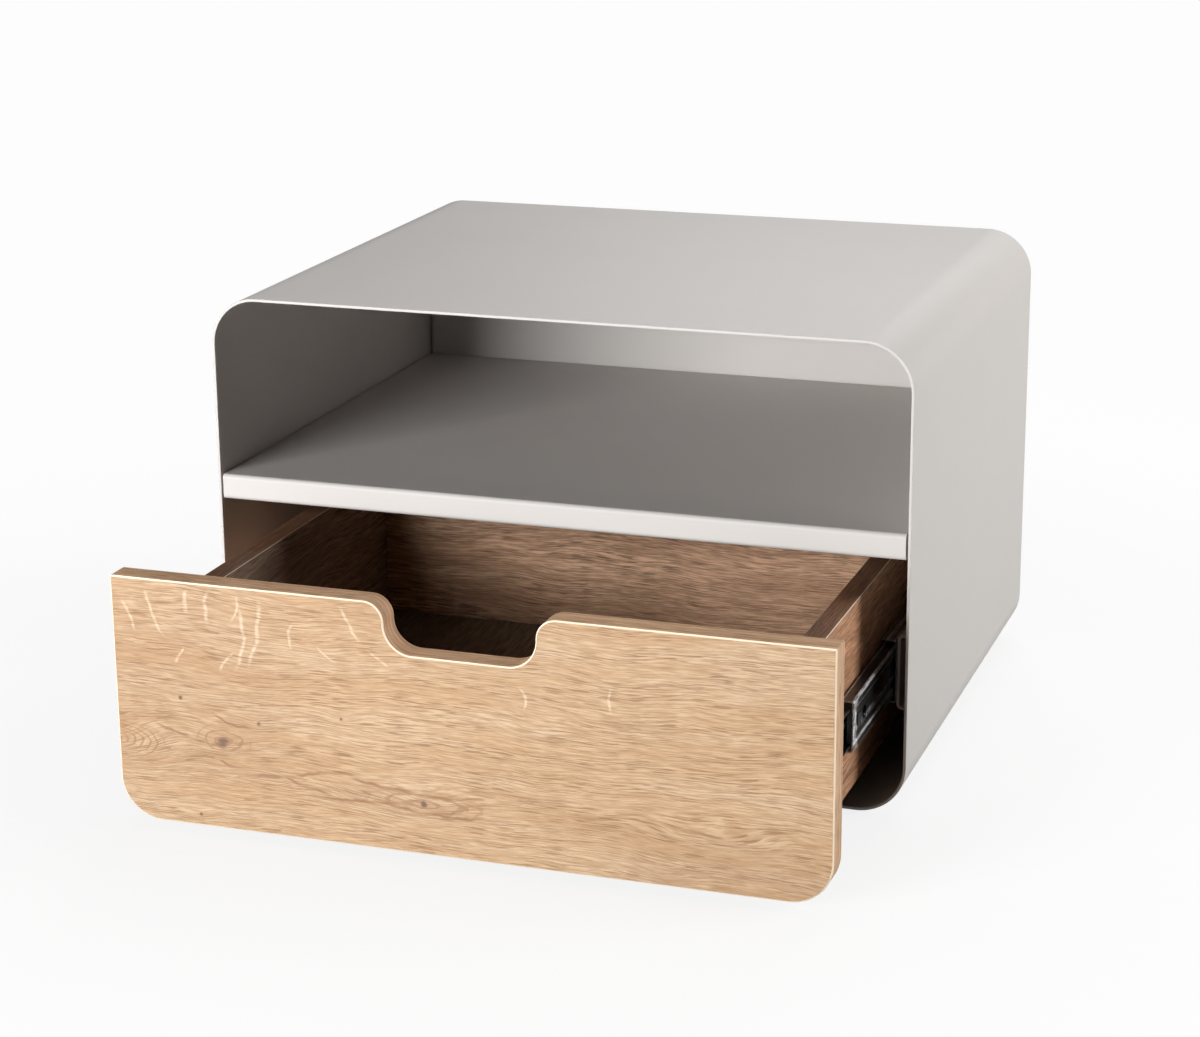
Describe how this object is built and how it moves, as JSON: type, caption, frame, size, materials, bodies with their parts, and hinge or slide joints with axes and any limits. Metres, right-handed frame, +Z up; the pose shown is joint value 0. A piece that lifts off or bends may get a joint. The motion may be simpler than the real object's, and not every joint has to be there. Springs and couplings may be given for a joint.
{
  "type": "side table with drawer",
  "caption": "Low side table: a rounded loop of bent sheet steel with an open shelf above a pull-out oak drawer on ball bearing slides.",
  "frame": {"origin": "middle of the underside of the shell, half way along its width and depth", "axes": "+X to the right seen from the front, +Y towards the back, +Z up; the drawer opens towards -Y"},
  "size_m": [0.5, 0.568, 0.325],
  "materials": {
    "powder_coat": "matt fine-textured powder coat, warm light grey",
    "black_zinc": "black passivated zinc, satin",
    "zinc_plate": "bright zinc plate",
    "bright_steel": "polished steel",
    "rubber": "matt black rubber",
    "black_plastic": "moulded black plastic",
    "oak_front": "light natural oak, matt lacquer, grain along the width",
    "oak_band": "oak edge band, matt",
    "oak_box": "oak-faced board, matt",
    "die_cast": "raw die-cast zinc alloy",
    "beech": "fluted beech dowel, unfinished"
  },
  "bodies": {
    "carcass": {"shell": "powder_coat", "back_panel": "powder_coat", "shelf": "powder_coat", "slide_channel_left": "powder_coat", "slide_channel_right": "powder_coat", "cabinet_member_left": "black_zinc", "cabinet_member_right": "black_zinc", "cabinet_slide_screws": "bright_steel", "cabinet_slide_nuts": "bright_steel", "closing_stops": "rubber"},
    "drawer": {"drawer_front": "oak_front", "front_edge_band": "oak_band", "drawer_side_left": "oak_box", "drawer_side_right": "oak_box", "drawer_back": "oak_box", "drawer_bottom": "oak_box", "box_edge_bands": "oak_band", "cam_discs": "die_cast", "cam_bolts": "bright_steel", "dowels": "beech", "back_screws": "bright_steel", "drawer_member_left": "black_zinc", "drawer_member_right": "black_zinc", "drawer_slide_screws": "bright_steel", "lever_pins": "bright_steel"},
    "middle_slide_left": {"middle_member_left": "black_zinc", "middle_bumper_left": "black_plastic"},
    "outer_cage_left": {"outer_ball_cage_left": "zinc_plate", "outer_balls_left": "bright_steel"},
    "inner_cage_left": {"inner_ball_cage_left": "zinc_plate", "inner_balls_left": "bright_steel"},
    "lever_left": {"release_lever_left": "zinc_plate"},
    "middle_slide_right": {"middle_member_right": "black_zinc", "middle_bumper_right": "black_plastic"},
    "outer_cage_right": {"outer_ball_cage_right": "zinc_plate", "outer_balls_right": "bright_steel"},
    "inner_cage_right": {"inner_ball_cage_right": "zinc_plate", "inner_balls_right": "bright_steel"},
    "lever_right": {"release_lever_right": "zinc_plate"}
  },
  "joints": [
    {"name": "drawer_slide", "type": "slide", "parent": "carcass", "child": "drawer", "axis": [0, -1, 0], "range_m": [-0.172, 0.128]},
    {"name": "middle_slide_left_run", "type": "slide", "parent": "carcass", "child": "middle_slide_left", "axis": [0, -1, 0], "range_m": [-0.1131, 0.0842]},
    {"name": "outer_cage_left_run", "type": "slide", "parent": "carcass", "child": "outer_cage_left", "axis": [0, -1, 0], "range_m": [-0.0566, 0.0421]},
    {"name": "inner_cage_left_run", "type": "slide", "parent": "carcass", "child": "inner_cage_left", "axis": [0, -1, 0], "range_m": [-0.1426, 0.1061]},
    {"name": "lever_left_press", "type": "hinge", "parent": "drawer", "child": "lever_left", "pos_m": [-0.2206, -0.241, 0.082], "axis": [1, 0, 0], "range_deg": [-8, 0], "stiffness_Nm_per_rad": 0.02},
    {"name": "middle_slide_right_run", "type": "slide", "parent": "carcass", "child": "middle_slide_right", "axis": [0, -1, 0], "range_m": [-0.1131, 0.0842]},
    {"name": "outer_cage_right_run", "type": "slide", "parent": "carcass", "child": "outer_cage_right", "axis": [0, -1, 0], "range_m": [-0.0566, 0.0421]},
    {"name": "inner_cage_right_run", "type": "slide", "parent": "carcass", "child": "inner_cage_right", "axis": [0, -1, 0], "range_m": [-0.1426, 0.1061]},
    {"name": "lever_right_press", "type": "hinge", "parent": "drawer", "child": "lever_right", "pos_m": [0.2206, -0.241, 0.082], "axis": [1, 0, 0], "range_deg": [0, 8], "stiffness_Nm_per_rad": 0.02}
  ],
  "couplings": [
    {"joint": "middle_slide_left_run", "follows": "drawer_slide", "ratio": 0.657},
    {"joint": "outer_cage_left_run", "follows": "drawer_slide", "ratio": 0.3285},
    {"joint": "inner_cage_left_run", "follows": "drawer_slide", "ratio": 0.8285},
    {"joint": "middle_slide_right_run", "follows": "drawer_slide", "ratio": 0.657},
    {"joint": "outer_cage_right_run", "follows": "drawer_slide", "ratio": 0.3285},
    {"joint": "inner_cage_right_run", "follows": "drawer_slide", "ratio": 0.8285}
  ]
}
